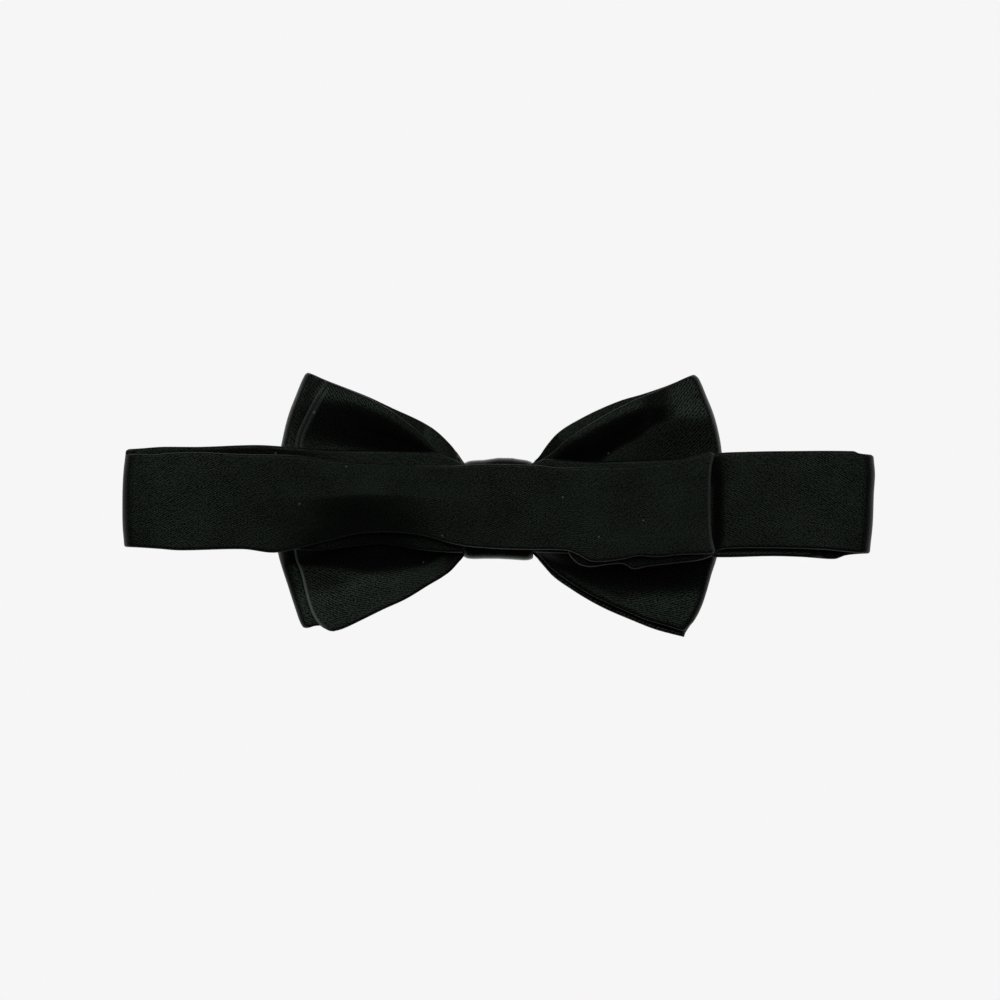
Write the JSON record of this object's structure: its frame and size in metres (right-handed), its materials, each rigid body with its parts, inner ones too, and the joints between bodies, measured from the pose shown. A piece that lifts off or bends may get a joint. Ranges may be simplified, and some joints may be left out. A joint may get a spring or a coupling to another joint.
{
  "type": "bow_tie",
  "caption": "Pre-tied butterfly bow tie in black silk satin with a knot, double wings and an attached neckband that closes at the back with a hook-and-loop lap",
  "frame": {"origin": "on the resting plane (z = 0, the table the bow's face lies on), under the middle of the bow", "axes": "+X across the bow from wing tip to wing tip, +Y up the wearer's chest, +Z away from the bow's face, towards the wearer's neck"},
  "size_m": [0.2052, 0.072, 0.0226],
  "materials": {
    "satin": "black silk satin with a fine twill, soft low sheen",
    "interlining": "unbleached cotton and wool canvas, plain weave, matt",
    "hook_tape": "black nylon tape with woven-in hooks",
    "loop_tape": "black nylon tape with brushed loops",
    "thread": "black twisted polyester sewing thread, slight gloss"
  },
  "bodies": {
    "bow": {"front_loop_satin": "satin", "front_loop_interlining": "interlining", "front_end_satin": "satin", "front_end_interlining": "interlining", "back_loop_satin": "satin", "back_loop_interlining": "interlining", "back_end_satin": "satin", "back_end_interlining": "interlining", "waist_pleats": "satin", "binding_thread": "thread", "knot_wrap": "satin", "knot_interlining": "interlining", "knot_stitches": "thread", "band_center": "satin", "anchor_stitches": "thread"},
    "left_band": {"left_band_satin": "satin", "left_band_interlining": "interlining", "left_fold_satin": "satin", "left_fold_interlining": "interlining"},
    "left_flap": {"left_flap_satin": "satin", "left_flap_interlining": "interlining", "hook_pad": "hook_tape", "hook_pad_stitches": "thread"},
    "right_band": {"right_band_satin": "satin", "right_band_interlining": "interlining", "right_fold_satin": "satin", "right_fold_interlining": "interlining"},
    "right_flap": {"right_flap_satin": "satin", "right_flap_interlining": "interlining", "loop_pad": "loop_tape", "loop_pad_stitches": "thread"}
  },
  "joints": [
    {"name": "left_fold", "type": "hinge", "parent": "left_band", "child": "left_flap", "pos_m": [-0.0989, 0, 0.0153], "axis": [0, -1, 0], "range_deg": [0, 165], "deforming": ["left_fold_satin", "left_fold_interlining"]},
    {"name": "right_fold", "type": "hinge", "parent": "right_band", "child": "right_flap", "pos_m": [0.0989, 0, 0.0153], "axis": [0, 1, 0], "range_deg": [0, 165], "deforming": ["right_fold_satin", "right_fold_interlining"]},
    {"name": "left_lift", "type": "hinge", "parent": "bow", "child": "left_band", "pos_m": [-0.0103, 0, 0.01235], "axis": [0, 1, 0], "range_deg": [0, 42]},
    {"name": "right_lift", "type": "hinge", "parent": "bow", "child": "right_band", "pos_m": [0.0103, 0, 0.01235], "axis": [0, -1, 0], "range_deg": [0, 42]}
  ],
  "couplings": [
    {"joint": "right_fold", "follows": "left_fold", "ratio": 1},
    {"joint": "left_lift", "follows": "left_fold", "ratio": 0.25},
    {"joint": "right_lift", "follows": "left_fold", "ratio": 0.25}
  ]
}
